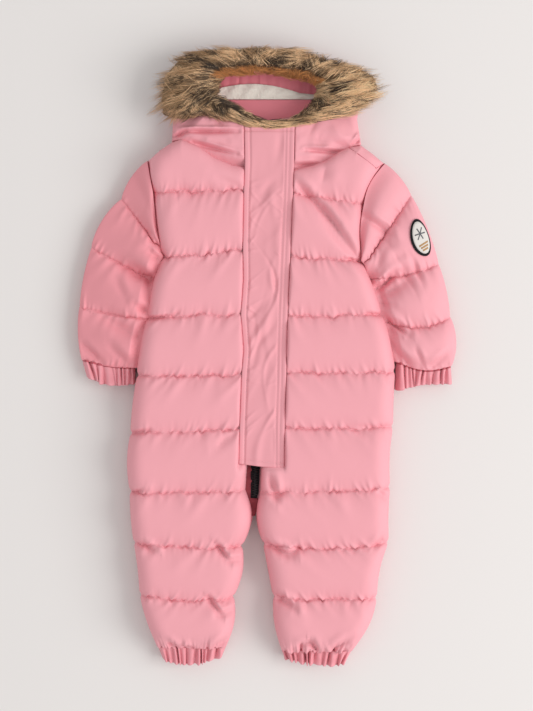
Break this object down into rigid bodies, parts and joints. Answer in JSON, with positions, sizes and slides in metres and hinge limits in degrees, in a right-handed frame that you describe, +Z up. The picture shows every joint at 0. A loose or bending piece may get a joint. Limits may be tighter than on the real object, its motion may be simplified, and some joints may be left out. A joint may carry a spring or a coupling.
{
  "type": "baby snowsuit",
  "caption": "Padded pink baby snowsuit laid flat on its back, with quilted rows, storm flap over a front zip, gathered cuffs and a fur-trimmed hood.",
  "frame": {"origin": "on the surface it lies on, under the middle of the whole garment", "axes": "+Y towards the hood, +X towards the wearer's left sleeve, +Z up out of the garment's front"},
  "size_m": [0.4532, 0.7398, 0.0561],
  "materials": {
    "shell": "satin",
    "lining": "matte",
    "fleece": "matte",
    "fur": "matte",
    "zip_tape": "matte",
    "slider_metal": "satin",
    "badge": "matte"
  },
  "bodies": {
    "root": {"right_front": "shell", "left_front": "shell", "right_back": "shell", "left_back": "shell", "right_sleeve": "shell", "left_sleeve": "shell", "hood_right": "shell", "hood_left": "shell", "hood_back": "shell", "storm_flap": "shell", "right_sleeve_cuff": "shell", "left_sleeve_cuff": "shell", "right_leg_cuff": "shell", "left_leg_cuff": "shell", "hood_lining": "lining", "neck_facing": "lining", "neck_fleece": "fleece", "fur_trim": "fur", "zip": "zip_tape", "zip_slider": "slider_metal", "sleeve_patch": "badge"}
  },
  "joints": []
}
